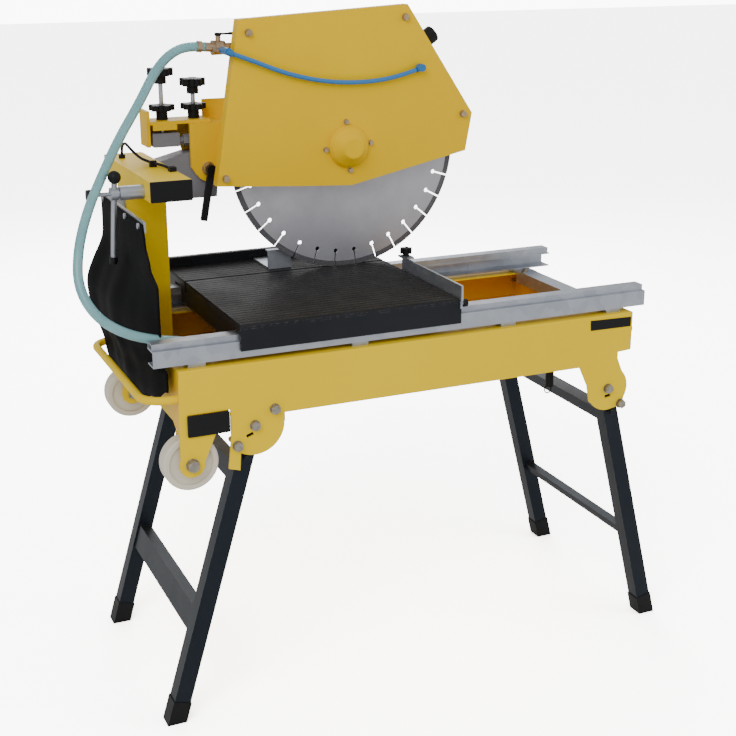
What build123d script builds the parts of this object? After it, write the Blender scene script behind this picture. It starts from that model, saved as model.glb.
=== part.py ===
from build123d import *
import math
import os

# Wet masonry saw for blocks and tiles, 450 mm blade, on folding legs. Millimetres.
# Set out from a bench datum: X along the rails (its zero 41 mm left of the blade
# spindle), Y from the tank's centre line (minus is the operator's side), Z from the
# floor. save() moves everything so that the frame origin is on the floor under the
# middle of the overall length and depth.
ORIGIN = (-58.5, -59.0, 0.0)

# tank and side plates
TANK_LEFT = -385.0
TANK_RIGHT = 489.0
SIDE_Y = 219.5
SHEET = 3.0
TANK_TOP = 647.0
TANK_FLOOR = 573.0
SKIRT_Z = 552.0
FLANGE_Y = 44.0
DRAIN_X = 357.0
DRAIN_Y = -150.0
END_BOLT_Y = 205.0
# folding legs
LEG_TUBE = 30.0
LEG_WALL = 2.0
LEG_Y = 199.5
PIVOT_R = 5.0
LEFT_PIVOT = (-258.0, 537.0)
LEFT_FOOT = (-416.5, 0.0)
LEFT_LOBE_R = 53.0
RIGHT_PIVOT = (442.0, 503.0)
RIGHT_FOOT = (570.0, 0.0)
RIGHT_LOBE_R = 43.0
FOOT_CAP = 33.0
STOP_BOLTS = ((-289.5, 505.0), (-222.0, 561.0), (472.0, 469.0))
# leg crossbars: distance below the pivot, size along the leg, thickness, offset across it
LEFT_BARS = [(92.0, 30.0, 28.0, 0.0), (372.0, 46.0, 24.0, 0.0)]
RIGHT_BARS = [(62.0, 24.0, 24.0, 0.0), (331.0, 16.0, 16.0, 0.0)]
# transport wheels
WHEEL_X = -368.0
WHEEL_Z = 483.0
WHEEL_R = 48.0
WHEEL_Y = 197.0
WHEEL_W = 30.0
AXLE_R = 6.0
# column, beam and lower cross tube
COLUMN_X0 = -374.0
COLUMN_X1 = -302.0
COLUMN_Y0 = 108.0
COLUMN_Y1 = 170.0
BEAM_Z0 = 893.0
BEAM_Z1 = 928.0
BEAM_Y0 = -60.0
BEAM_Y1 = 262.0
CROSS_Z0 = 533.0
CROSS_Z1 = 570.0
CLAMP_Y = -14.0
CLAMP_Z = 905.0
CLAMP_TILT = 16.0
# rails
RAIL_LEFT = -423.0
RAIL_REAR_LEFT = -297.0
RAIL_RIGHT = 519.0
RAIL_Z0 = 655.0
RAIL_Z1 = 683.0
RAIL_Z2 = 694.0
RAIL_FRONT_Y = -211.5
RAIL_REAR_Y = 162.0
RAIL_W = 32.0
RAIL_SHEET = 2.5
STRIP_X = 436.0
STRIP_BOLTS = (-153.0, 104.0)
# rolling table
TABLE_X0 = -277.0
TABLE_X1 = 129.5
MAT_X1 = 123.0
TABLE_Y0 = -216.5
TABLE_Y1 = 215.0
TABLE_Z0 = 667.0
DECK_Z0 = 704.0
DECK_Z1 = 708.0
TABLE_TOP = 713.0
FENCE_TOP = 736.0
FENCE_X = 126.0
FENCE_BAR = 4.0
BACK_FENCE_LEFT = -303.0
BACK_FENCE_TOP = 732.0
SLOT_W = 8.0
SLOT_FLOOR = 688.0
ROLLER_R = 11.0
ROLLER_PIN_R = 4.0
KNOB_X = 137.0
KNOB_Y = 26.0
STOP_TOP = 750.0
# blade and guard
SPINDLE_X = 41.0
SPINDLE_Z = 936.0
BLADE_Y = 98.0
BLADE_R = 225.0
BLADE_T = 3.2
SEGMENTS = 32
SEGMENT_H = 10.0
SEGMENT_T = 3.8
KEYHOLE_R = 195.0
GUARD_FRONT = 62.0
GUARD_BACK = 130.0
COVER_DEPTH = 22.0
CAP_X = 35.0
CAP_Z = 945.0
GUARD_OUTLINE = [(-171, 1177), (155, 1196), (292, 993), (279, 922), (41, 872), (-62, 878), (-220, 889)]
GUARD_SLOPE = (0.829, 0.559)
# head pivot and arm
PIVOT_X = -214.0
PIVOT_Z = 911.0
HEAD_PIN_R = 8.0
ARM_FRONT = 130.0
ARM_BACK = 188.0
ARM_PLATE = 6.0
LUG_Y0 = 138.0
LUG_Y1 = 180.0
TAIL_TOP = 1000.0
SCREW_Y = 160.0
LEFT_SCREW_X = -288.0
RIGHT_SCREW_X = -229.0
LEFT_TOP = 1091.0
RIGHT_TOP = 1071.0
STAR_R = 24.0
STAR_T = 13.0
SCREW_R = 4.0
# motor
MOTOR_R = 78.0
MOTOR_END = 316.0
# hoses and cable
HOSE_R = 8.25
HOSE_BORE = 6.0
HOSE_ROUTE = [
    (-222, 95, 1130), (-254, 95, 1133), (-287, 91, 1121), (-318, 82, 1093), (-353, 64, 1042),
    (-398, 34, 990), (-440, -10, 938), (-478, -52, 888), (-506, -92, 834), (-517, -124, 780),
    (-497, -148, 734), (-456, -163, 705), (-404, -169, 689), (-351, -168, 681), (-319, -165, 654),
    (-311, -161, 616),
]
VALVE_Y = 95.0
VALVE_Z = 1128.0
BLUE_R = 4.0
BLUE_ROUTE = [
    (-186, 53, 1120), (-150, 53, 1107), (-85, 53, 1081), (-10, 53, 1064),
    (65, 53, 1060), (130, 53, 1067), (170, 53, 1079),
]
CABLE_R = 2.5
CABLE_ROUTE = [
    (-354, 206, 932), (-356, 196, 951), (-356, 170, 962), (-353, 141, 953),
    (-343, 112, 940), (-328, 88, 935), (-317, 61, 934), (-310, 34, 931),
]

CENTRE = (Align.CENTER, Align.CENTER, Align.MIN)


def block(x0, x1, y0, y1, z0, z1):
    """Box between two corners."""
    return Pos((x0 + x1) / 2, (y0 + y1) / 2, (z0 + z1) / 2) * Box(x1 - x0, y1 - y0, z1 - z0)


def rod(start, direction, radius, length):
    """Round bar from a point along a direction."""
    return Plane(origin=start, z_dir=direction) * Cylinder(radius, length, align=CENTRE)


def hexagon(start, direction, across, length):
    """Hexagon bar, measured across its flats."""
    face = Plane(origin=start, z_dir=direction) * RegularPolygon(across / math.sqrt(3), 6)
    return extrude(face, amount=length, dir=direction)


def slab_xz(points, y0, y1):
    """Plate with an outline in X and Z, between two Y faces."""
    face = Plane.XZ * make_face(Polyline(*points, close=True))
    return Pos(0, y0, 0) * extrude(face, amount=-(y1 - y0))


def slab_yz(points, x0, x1):
    """Plate with an outline in Y and Z, between two X faces."""
    face = Plane.YZ * make_face(Polyline(*points, close=True))
    return Pos(x0, 0, 0) * extrude(face, amount=x1 - x0)


def bolt(start, direction, shank, length, across):
    """Hexagon bolt: washer and head stand out against the direction, shank runs along it."""
    back = tuple(-c for c in direction)
    washer = rod(start, back, across * 0.62, 1.6)
    seat = tuple(s + b * 1.6 for s, b in zip(start, back))
    head = hexagon(seat, back, across, shank * 1.3)
    return washer + head + rod(start, direction, shank, length)


def bend_radii(points):
    """Radius at each inner point: 0.45 of the shorter run over the tangent of half the turn."""
    radii = []
    for i in range(1, len(points) - 1):
        a = Vector(*points[i]) - Vector(*points[i - 1])
        b = Vector(*points[i + 1]) - Vector(*points[i])
        turn = math.radians(a.get_angle(b))
        radii.append(0.45 * min(a.length, b.length) / math.tan(turn / 2))
    return radii


def tube_along(name, points, radius, bore=0.0):
    """Hose or cable of straight runs joined by tangent arcs."""
    radii = bend_radii(points)
    path = FilletPolyline(*points, radius=radii)
    start = Plane(origin=path @ 0, z_dir=path % 0)
    section = start * Circle(radius)
    if bore:
        section = section - start * Circle(bore)
    shape = sweep(section, path=path)
    area = math.pi * (radius ** 2 - bore ** 2)
    print(name, "length %.1f" % path.length, "radii", [round(r, 1) for r in radii])
    print(name, "volume %.0f, section x length %.0f" % (shape.volume, area * path.length))
    return shape


# ------------------------------------------------------------------ frame and tank
def side_outline():
    """Side plate outline with both leg brackets and the wheel bracket."""
    main = [
        (TANK_LEFT, TANK_TOP), (TANK_RIGHT, TANK_TOP), (TANK_RIGHT, 574), (461, 572), (461, 560),
        (478, 520), (485, 503), (478, 476), (462, 463), (442, 460), (420, 466), (402, 482),
        (396, 514), (378, SKIRT_Z), (-210, SKIRT_Z), (-205, 537), (-300, 500), (-300, 571),
        (-374, 571), (-374, 532), (-326, 532), (-348, 482), (-368, 460), (-388, 482), (TANK_LEFT - 2, 571),
    ]
    return main


def side_plate(sign):
    y0, y1 = (-SIDE_Y, -SIDE_Y + SHEET) if sign < 0 else (SIDE_Y - SHEET, SIDE_Y)
    plate = slab_xz(side_outline(), y0, y1)
    plate += slab_xz([(-300, 580), (-204, 580), (-204, 537), (-300, 500)], y0, y1)
    lobe = rod((LEFT_PIVOT[0], y0, LEFT_PIVOT[1]), (0, 1, 0), LEFT_LOBE_R, SHEET)
    plate += lobe - block(-340, -300, -300, 300, 400, 640)
    plate += rod((RIGHT_PIVOT[0], y0, RIGHT_PIVOT[1]), (0, 1, 0), RIGHT_LOBE_R, SHEET)
    plate += slab_xz([(-306, 466), (-286, 460), (-283, 500), (-270, 520), (-300, 520)], y0, y1)
    plate += rod((WHEEL_X, y0, WHEEL_Z), (0, 1, 0), 22, SHEET)
    plate -= block(-374, -302, -300, 300, CROSS_Z0, CROSS_Z1)
    holes = [(x, z, PIVOT_R) for x, z in (LEFT_PIVOT, RIGHT_PIVOT) + STOP_BOLTS]
    for x, z, r in holes + [(WHEEL_X, WHEEL_Z, AXLE_R)]:
        plate -= rod((x, y0 - 1, z), (0, 1, 0), r + 0.1, SHEET + 2)
    for x, z, slant in ((-267, 521, 20), (443, 488, 8)):
        slot = Pos(x, 0, z) * Rot(0, -slant, 0) * Box(13, 900, 6)
        plate -= slot
    edge = plate.edges().filter_by(Axis.X).group_by(Axis.Z)[-1].sort_by(Axis.Y)
    plate = fillet(edge[0] if sign < 0 else edge[-1], 1.8)
    # the top edge is folded inward to carry the rails
    if sign < 0:
        fold = block(TANK_LEFT, TANK_RIGHT, -SIDE_Y + SHEET, -SIDE_Y + FLANGE_Y, TANK_TOP - 2, TANK_TOP)
    else:
        fold = block(TANK_LEFT, TANK_RIGHT, 128, SIDE_Y - SHEET, TANK_TOP - 2, TANK_TOP)
        fold -= block(COLUMN_X0, COLUMN_X1, 100, COLUMN_Y1, TANK_TOP - 5, TANK_TOP + 5)
    return Compound(children=[plate, fold])


def tank_tray():
    y = SIDE_Y - SHEET
    tray = block(TANK_LEFT, TANK_RIGHT, -y, y, TANK_FLOOR, TANK_TOP - 2)
    tray -= block(TANK_LEFT + 3, TANK_RIGHT - 3, -y + 2, y - 2, TANK_FLOOR + 3, TANK_TOP + 5)
    for sign in (-1, 1):
        gusset = [(sign * (y - 90), TANK_FLOOR), (sign * y, TANK_FLOOR), (sign * y, 535), (sign * (y - 16), 533)]
        tray += slab_yz(gusset, TANK_LEFT, TANK_LEFT + 3)
    tray -= rod((DRAIN_X, DRAIN_Y, TANK_FLOOR - 5), (0, 0, 1), 8.0, 20)
    for y in (-END_BOLT_Y, END_BOLT_Y):
        tray -= rod((TANK_RIGHT + 1, y, 611), (-1, 0, 0), 4.05, 10)
    return tray


def wheel_forks():
    parts = []
    for sign in (-1, 1):
        y_in = sign * 176.0
        lo, hi = sorted((y_in, y_in + sign * 3))
        cheek = slab_xz([(-382, 533), (-326, 533), (-348, 484), (-388, 484)], lo, hi)
        cheek += rod((WHEEL_X, lo, WHEEL_Z), (0, 1, 0), 20, 3)
        cheek -= rod((WHEEL_X, lo - 1, WHEEL_Z), (0, 1, 0), AXLE_R + 0.1, 5)
        parts.append(cheek)
    return Compound(children=parts)


def square_tube(x0, x1, y0, y1, z0, z1, wall, axis):
    outer = block(x0, x1, y0, y1, z0, z1)
    if axis == "y":
        return outer - block(x0 + wall, x1 - wall, y0 - 1, y1 + 1, z0 + wall, z1 - wall)
    return outer - block(x0 + wall, x1 - wall, y0 + wall, y1 - wall, z0 - 1, z1 + 1)


def cross_tube():
    return square_tube(COLUMN_X0, COLUMN_X1, -SIDE_Y, SIDE_Y, CROSS_Z0, CROSS_Z1, 3, "y")


def column():
    return square_tube(COLUMN_X0, COLUMN_X1, COLUMN_Y0, COLUMN_Y1, TANK_FLOOR + 3, BEAM_Z0, 3, "z")


def beam():
    tube = square_tube(COLUMN_X0, COLUMN_X1, BEAM_Y0, BEAM_Y1, BEAM_Z0, BEAM_Z1, 3, "y")
    return tube


def tube_end_caps():
    caps = []
    for z0, z1, y0, y1 in ((CROSS_Z0, CROSS_Z1, -SIDE_Y, SIDE_Y), (BEAM_Z0, BEAM_Z1, BEAM_Y0, BEAM_Y1)):
        for y, out in ((y0, -1), (y1, 1)):
            lo, hi = sorted((y, y + out * 3))
            cap = fillet(block(COLUMN_X0, COLUMN_X1, lo, hi, z0, z1).edges().filter_by(Axis.Y), 2)
            lo, hi = sorted((y, y - out * 12))
            cap += block(COLUMN_X0 + 3.2, COLUMN_X1 - 3.2, lo, hi, z0 + 3.2, z1 - 3.2)
            caps.append(cap)
    return Compound(children=caps)


def hinge_lug():
    outline = [
        (COLUMN_X1, BEAM_Z0), (COLUMN_X1, BEAM_Z1), (-250, 941), (-226, 941), (-200, 930), (-192, 911), (-197, 857),
        (-245, 857), (-245, BEAM_Z0),
    ]
    lug = slab_xz(outline, LUG_Y0, LUG_Y1)
    return lug - rod((PIVOT_X, LUG_Y0 - 1, PIVOT_Z), (0, 1, 0), HEAD_PIN_R + 0.06, LUG_Y1 - LUG_Y0 + 2)


def rail(outer_y, inward, left):
    """Rolled channel, open to the inside, with a hollow track along its top."""
    def y(depth):
        return outer_y + inward * depth
    c = [
        (y(0), RAIL_Z0), (y(RAIL_W), RAIL_Z0), (y(RAIL_W), RAIL_Z0 + RAIL_SHEET), (y(RAIL_SHEET), RAIL_Z0 + RAIL_SHEET),
        (y(RAIL_SHEET), RAIL_Z1 - RAIL_SHEET), (y(RAIL_W), RAIL_Z1 - RAIL_SHEET), (y(RAIL_W), RAIL_Z1),
        (y(0), RAIL_Z1),
    ]
    shape = slab_yz(c, left, RAIL_RIGHT)
    lo, hi = sorted((y(5.5), y(RAIL_W - 2)))
    shape += block(left, RAIL_RIGHT - 3, lo, hi, RAIL_Z1, RAIL_Z2)
    shape -= block(left - 1, RAIL_RIGHT + 1, lo + 2, hi - 2, RAIL_Z1 + 1, RAIL_Z2 - 2)
    return shape


def rail_front():
    return rail(RAIL_FRONT_Y, 1, RAIL_LEFT)


def rail_rear():
    return rail(RAIL_REAR_Y, -1, RAIL_REAR_LEFT)


def cross_strip():
    """Folded strip across the tank and the spacers that carry the rails."""
    y0, y1 = RAIL_FRONT_Y + 4, RAIL_REAR_Y - 4
    strip = block(STRIP_X, STRIP_X + 34, y0, y1, RAIL_Z0 - 3, RAIL_Z0)
    strip += block(STRIP_X, STRIP_X + 3, -165, 120, 630, RAIL_Z0)
    for y in STRIP_BOLTS:
        strip -= rod((STRIP_X + 10, y, RAIL_Z0 - 9), (0, 0, 1), 4.05, 20)
    parts = [strip]
    for x, top in ((-350, RAIL_Z0), (-60, RAIL_Z0), (230, RAIL_Z0), (STRIP_X + 17, RAIL_Z0 - 3)):
        parts.append(block(x - 15, x + 15, RAIL_FRONT_Y + 4, RAIL_FRONT_Y + RAIL_W - 3, TANK_TOP, top))
        if x > RAIL_REAR_LEFT:
            parts.append(block(x - 15, x + 15, RAIL_REAR_Y - RAIL_W + 3, RAIL_REAR_Y - 4, TANK_TOP, top))
    return Compound(children=parts)


def frame_bolts():
    parts = []
    for sign in (-1, 1):
        inward = (0, -sign, 0)
        for x, z in (LEFT_PIVOT, RIGHT_PIVOT):
            pin = bolt((x, sign * SIDE_Y, z), inward, PIVOT_R, 44, 15)
            pin += hexagon((x, sign * (SIDE_Y - 37), z), inward, 15, 7)
            parts.append(pin)
        # stop bolts beside the legs
        for x, z in STOP_BOLTS:
            parts.append(bolt((x, sign * SIDE_Y, z), inward, PIVOT_R, 36, 15))
        axle = bolt((WHEEL_X, sign * SIDE_Y, WHEEL_Z), inward, AXLE_R, 52, 19)
        axle += hexagon((WHEEL_X, sign * (SIDE_Y - 43.5), WHEEL_Z), inward, 17, 6)
        parts.append(axle)
    for y in (-END_BOLT_Y, END_BOLT_Y):
        parts.append(bolt((TANK_RIGHT, y, 611), (-1, 0, 0), 4, 12, 13))
    for y in STRIP_BOLTS:
        parts.append(bolt((STRIP_X + 10, y, RAIL_Z0), (0, 0, -1), 4, 10, 11))
    return Compound(children=parts)


def carry_handle():
    route = [(TANK_LEFT, -209, 598), (-440, -209, 598), (-440, 165, 598), (TANK_LEFT, 165, 598)]
    path = FilletPolyline(*route, radius=38)
    start = Plane(origin=path @ 0, z_dir=path % 0)
    return sweep(start * Circle(7), path=path)


def curtain():
    profile = [(-399.5, 868), (-399.5, 800), (-413, 748), (-427, 702), (-425, 655), (-414, 600), (-403, 530)]
    line = Plane.XZ * Spline(*profile)
    band = Plane.XZ * make_face(Polyline(
        *[(p[0] + 1.5, p[1]) for p in profile], *[(p[0] - 1.5, p[1]) for p in reversed(profile)], close=True))
    outline = [
        (-96, 866), (193, 866), (188, 812), (203, 760), (208, 700), (200, 660), (148, 642), (146, 560), (120, 538),
        (0, 548), (-150, 578), (-196, 590), (-197, 645), (-156, 652), (-155, 745), (-146, 758), (-96, 785),
    ]
    sheet = Pos(0, 240, 0) * extrude(band, amount=480)
    return sheet & slab_yz(outline, -470, -380)


def curtain_strip():
    strip = block(-398, -394, -98, 195, 852, 870)
    strip += block(-394, COLUMN_X0, 118, 160, 855, 868)
    parts = [strip]
    for y in (-80, 10, 90, 175):
        parts.append(rod((-401, y, 861), (-1, 0, 0), 5, 3))
    return Compound(children=parts)


def pump():
    x, y, z = HOSE_ROUTE[-1]
    body = Pos(x, y, TANK_FLOOR + 3) * Cylinder(27, 24, align=CENTRE)
    body = fillet(body.edges().group_by(Axis.Z)[-1], 4)
    direction = Vector(*HOSE_ROUTE[-1]) - Vector(*HOSE_ROUTE[-2])
    stub = rod((x, y, z), tuple(direction.normalized()), HOSE_R, 18)
    return body + stub


def drain_plug():
    plug = rod((DRAIN_X, DRAIN_Y, 498), (0, 0, 1), 7.8, TANK_FLOOR - 498 + 2)
    plug += rod((DRAIN_X, DRAIN_Y, 566), (0, 0, 1), 13, TANK_FLOOR - 566)
    ring = Pos(DRAIN_X - 3, DRAIN_Y, 492) * Rot(90, 0, 0) * Torus(7, 1.2)
    return plug + ring


def clamp_boss():
    boss = rod((COLUMN_X0, CLAMP_Y, CLAMP_Z), (-1, 0, 0), 12, 41)
    return boss + rod((COLUMN_X0 - 41, CLAMP_Y, CLAMP_Z), (-1, 0, 0), 7, 2)


def clamp_bar():
    """Tommy bar with a ball, hanging at a slant from a hub on the clamp screw."""
    hub = rod((COLUMN_X0 - 43.4, CLAMP_Y, CLAMP_Z), (-1, 0, 0), 11, 13)
    place = Pos(COLUMN_X0 - 49.5, CLAMP_Y, CLAMP_Z) * Rot(CLAMP_TILT, 0, 0)
    bar = place * rod((0, 0, -122), (0, 0, 1), 5, 144)
    ball = place * Pos(0, 0, 30) * Sphere(11)
    tip = place * rod((0, 0, -131), (0, 0, 1), 7, 12)
    tail = rod((COLUMN_X0 - 56, CLAMP_Y, CLAMP_Z), (-1, 0, 0), 3.5, 35)
    tail += rod((COLUMN_X0 - 89, CLAMP_Y, CLAMP_Z), (-1, 0, 0), 10, 7)
    return hub + bar + ball + tip + tail


def label_plate():
    return slab_xz([(397, 640), (485, 638), (485, 620), (398, 621)], -SIDE_Y - 0.8, -SIDE_Y)


def beam_cable():
    cable = tube_along("beam_cable", CABLE_ROUTE, CABLE_R)
    x, y, z = CABLE_ROUTE[5]
    clip = block(x - 6, x + 6, y - 4, y + 4, BEAM_Z1, z + 4) - cable
    x, y, z = CABLE_ROUTE[0]
    gland = Pos(x, y + 1, BEAM_Z1) * Cylinder(6, 7, align=CENTRE) - cable
    x, y, z = CABLE_ROUTE[-1]
    outlet = block(x - 6, x + 6, y - 12, y + 2, BEAM_Z1, BEAM_Z1 + 8) - cable
    return Compound(children=[cable, clip, gland, outlet])


# ------------------------------------------------------------------ legs
def leg_axis(pivot, foot):
    run = Vector(foot[0] - pivot[0], 0, foot[1] - pivot[1])
    return run.normalized(), run.length


def leg_frame(pivot, foot, pin_radius, bars):
    direction, length = leg_axis(pivot, foot)
    z_dir = tuple(direction)
    solids = []
    for y in (-LEG_Y, LEG_Y):
        start = Plane(origin=(pivot[0], y, pivot[1]), x_dir=(0, 1, 0), z_dir=z_dir)
        tube = start * Pos(0, 0, -19) * Box(LEG_TUBE, LEG_TUBE, length + 5, align=CENTRE)
        hollow = LEG_TUBE - 2 * LEG_WALL
        tube -= start * Pos(0, 0, -17) * Box(hollow, hollow, length + 20, align=CENTRE)
        tube -= rod((pivot[0], y - 30, pivot[1]), (0, 1, 0), PIVOT_R + 0.06, 60)
        out = -1 if y < 0 else 1
        pin_at = (pivot[0] + direction.X * pin_radius, y + out * (LEG_TUBE / 2), pivot[1] + direction.Z * pin_radius)
        pin = rod(pin_at, (0, out, 0), 3.8, 9) + rod((pin_at[0], pin_at[1] + out * 5, pin_at[2]), (0, out, 0), 5.2, 4)
        solids.append(tube + pin)
    inner = LEG_Y - LEG_TUBE / 2
    for along, across, thick, side in bars:
        start = Plane(origin=(pivot[0], 0, pivot[1]), x_dir=(0, 1, 0), z_dir=z_dir)
        solids.append(start * Pos(0, side, along) * Box(2 * inner, thick, across))
    return Compound(children=solids)


def leg_feet(pivot, foot):
    direction, length = leg_axis(pivot, foot)
    solids = []
    for y in (-LEG_Y, LEG_Y):
        start = Plane(origin=(pivot[0], y, pivot[1]), x_dir=(0, 1, 0), z_dir=tuple(direction))
        cap = start * Pos(0, 0, length - 42) * Box(FOOT_CAP, FOOT_CAP, 60, align=CENTRE)
        cap -= start * Pos(0, 0, length - 60) * Box(LEG_TUBE, LEG_TUBE, 46, align=CENTRE)
        cap -= block(-900, 900, -300, 300, -100, 0)
        solids.append(cap)
    return Compound(children=solids)


def left_leg_frame():
    return leg_frame(LEFT_PIVOT, LEFT_FOOT, 60.0, LEFT_BARS)


def right_leg_frame():
    return leg_frame(RIGHT_PIVOT, RIGHT_FOOT, 51.0, RIGHT_BARS)


def left_feet():
    return leg_feet(LEFT_PIVOT, LEFT_FOOT)


def right_feet():
    return leg_feet(RIGHT_PIVOT, RIGHT_FOOT)


def wheel(sign):
    y = sign * WHEEL_Y - WHEEL_W / 2
    tyre = rod((WHEEL_X, y, WHEEL_Z), (0, 1, 0), WHEEL_R, WHEEL_W)
    tyre = fillet(tyre.edges().filter_by(GeomType.CIRCLE), 4)
    for face_y in (y - 1, y + WHEEL_W - 4):
        ring = rod((WHEEL_X, face_y, WHEEL_Z), (0, 1, 0), 38, 5) - rod((WHEEL_X, face_y, WHEEL_Z), (0, 1, 0), 17, 5)
        tyre -= ring
    return tyre - rod((WHEEL_X, y - 1, WHEEL_Z), (0, 1, 0), AXLE_R + 0.08, WHEEL_W + 2)


# ------------------------------------------------------------------ rolling table
ROLLER_XS = (-215.0, 68.0)
ROLLER_Z = RAIL_Z0 + RAIL_SHEET + ROLLER_R + 0.3


def table_frame():
    """Folded deck: two plates beside the blade slot, front and rear skirts, end webs, roller hangers."""
    slot0, slot1 = BLADE_Y - SLOT_W / 2, BLADE_Y + SLOT_W / 2
    web0, web1 = RAIL_FRONT_Y + RAIL_W + 3, RAIL_REAR_Y - RAIL_W - 3
    parts = [
        block(TABLE_X0, TABLE_X1, TABLE_Y0, slot0, DECK_Z0, DECK_Z1),
        block(TABLE_X0, TABLE_X1, slot1, TABLE_Y1, DECK_Z0, DECK_Z1),
        block(TABLE_X0, TABLE_X1, TABLE_Y0, TABLE_Y0 + 2.5, TABLE_Z0, DECK_Z0),
        block(TABLE_X0, TABLE_X1, TABLE_Y1 - 2.5, TABLE_Y1, TABLE_Z0, DECK_Z0),
    ]
    # end webs: pieces between the rails, notched for the blade slot, over each rail and behind the rear one
    webs = [
        (web0, slot0, TABLE_Z0, DECK_Z0), (slot0, slot1, TABLE_Z0, SLOT_FLOOR), (slot1, web1, TABLE_Z0, DECK_Z0),
        (TABLE_Y0 + 2.5, web0, RAIL_Z2 + 4, DECK_Z0), (web1, TABLE_Y1 - 2.5, RAIL_Z2 + 4, DECK_Z0),
        (RAIL_REAR_Y + 4, TABLE_Y1 - 2.5, TABLE_Z0, RAIL_Z2 + 4),
    ]
    for x in (TABLE_X0, TABLE_X1 - 2.5):
        for y0, y1, z0, z1 in webs:
            parts.append(block(x, x + 2.5, y0, y1, z0, z1))
    for x in ROLLER_XS:
        for y, pin_dir in ((web0 + 4, -1), (web1 - 8, 1)):
            hanger = block(x - 16, x + 16, y, y + 4, ROLLER_Z - 9, DECK_Z0)
            hanger += rod((x, y + 2, ROLLER_Z), (0, pin_dir, 0), ROLLER_PIN_R, 30)
            parts.append(hanger)
    return Compound(children=parts)


def table_mats():
    mats = []
    for y0, y1 in ((TABLE_Y0, BLADE_Y - SLOT_W / 2), (BLADE_Y + SLOT_W / 2, 209)):
        mat = block(TABLE_X0, MAT_X1, y0, y1, DECK_Z1, TABLE_TOP)
        y = y0 + 12
        while y < y1 - 8:
            mat -= block(TABLE_X0 - 1, TABLE_X1 + 1, y - 1, y + 1, TABLE_TOP - 0.8, TABLE_TOP + 1)
            y += 13.5
        mats.append(mat)
    return Compound(children=mats)


def back_fence():
    fence = block(BACK_FENCE_LEFT, TABLE_X1, 209.5, 213, DECK_Z1, BACK_FENCE_TOP)
    fence += block(BACK_FENCE_LEFT, TABLE_X1, 213, 222, BACK_FENCE_TOP - 3, BACK_FENCE_TOP)
    top = fence.edges().filter_by(Axis.X).group_by(Axis.Z)[-1].sort_by(Axis.Y)[0]
    return fillet(top, 2)


def roller_pair(x):
    rollers = []
    for y0 in (-195.5, 133.0):
        roller = rod((x, y0, ROLLER_Z), (0, 1, 0), ROLLER_R, 12)
        roller -= rod((x, y0 - 1, ROLLER_Z), (0, 1, 0), ROLLER_PIN_R + 0.06, 14)
        rollers.append(roller)
    return Compound(children=rollers)


def mitre_fence():
    """Flat bar on edge across the deck's right end, with a hook over the skirt and a tab for its knob."""
    outer = FENCE_X + FENCE_BAR
    fence = block(FENCE_X, outer, -222, 20, DECK_Z1, FENCE_TOP)
    fence += block(FENCE_X, outer, -219.5, TABLE_Y0, DECK_Z1 - 14, DECK_Z1)
    fence += block(FENCE_X, KNOB_X + 9, 8, KNOB_Y + 12, FENCE_TOP - 3, FENCE_TOP)
    fence += rod((outer, -218, DECK_Z1 - 4), (1, 0, 0), 3.5, 9)
    return fence - rod((KNOB_X, KNOB_Y, 700), (0, 0, 1), 4.1, 60)


def star(radius, thick, lobes):
    """Lobed hand knob head, centred, rising from zero."""
    head = Cylinder(radius * 0.72, thick, align=CENTRE)
    for i in range(lobes):
        a = math.radians(360 * i / lobes)
        head += Pos(radius * 0.7 * math.cos(a), radius * 0.7 * math.sin(a), 0) * Cylinder(radius * 0.3, thick, align=CENTRE)
    return head


def fence_knob():
    knob = Pos(KNOB_X, KNOB_Y, FENCE_TOP + 5) * star(12, 10, 6)
    knob += rod((KNOB_X, KNOB_Y, FENCE_TOP + 0.4), (0, 0, 1), 6, 6)
    knob += rod((KNOB_X, KNOB_Y, FENCE_TOP - 11), (0, 0, 1), 4, 12)
    return knob


def stop_block():
    stop = block(-108, -62, 118, 121, TABLE_TOP + 0.5, STOP_TOP)
    stop += block(-108, -62, 121, 205, TABLE_TOP + 0.5, TABLE_TOP + 4.5)
    stop += block(-108, -62, 118, 132, STOP_TOP - 3, STOP_TOP)
    stop -= rod((-87, 165, 700), (0, 0, 1), 5, 30)
    return stop


# ------------------------------------------------------------------ cutting head
def guard_face(inset):
    face = make_face(Polyline(*GUARD_OUTLINE, close=True))
    if inset:
        face = offset(face, -inset, kind=Kind.INTERSECTION)
    return face


def extrude_guard(face, y0, y1):
    return Pos(0, y0, 0) * extrude(Plane.XZ * face, amount=-(y1 - y0))


def guard_cover():
    cover = extrude_guard(guard_face(0), GUARD_FRONT, GUARD_FRONT + COVER_DEPTH)
    inner = guard_face(2)
    inner = inner + Pos(0, -40, 0) * inner
    return cover - extrude_guard(inner, GUARD_FRONT + 2, GUARD_FRONT + COVER_DEPTH + 1)


def shell_face(inset):
    face = guard_face(inset)
    return face & (Pos(12, 0, 0) * guard_face(inset))


def guard_shell():
    shell = extrude_guard(shell_face(6), GUARD_FRONT + 2, GUARD_BACK)
    inner = shell_face(8)
    inner = inner + Pos(0, -40, 0) * inner
    shell -= extrude_guard(inner, GUARD_FRONT + 1, GUARD_BACK - 2)
    return shell - rod((SPINDLE_X, GUARD_BACK - 5, SPINDLE_Z), (0, 1, 0), 30, 10)


def hub_cap():
    profile = Polyline((0, 0), (39, 0), (39, 4), (35, 12), (20, 27), (17, 28), (0, 28), close=True)
    cap = revolve(Plane.XZ * make_face(profile), Axis.Z)
    cap -= revolve(Plane.XZ * make_face(Polyline((0, 0), (34, 0), (31, 9), (17, 24), (0, 24), close=True)), Axis.Z)
    return Plane(origin=(CAP_X, GUARD_FRONT, CAP_Z), z_dir=(0, -1, 0)) * cap


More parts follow.
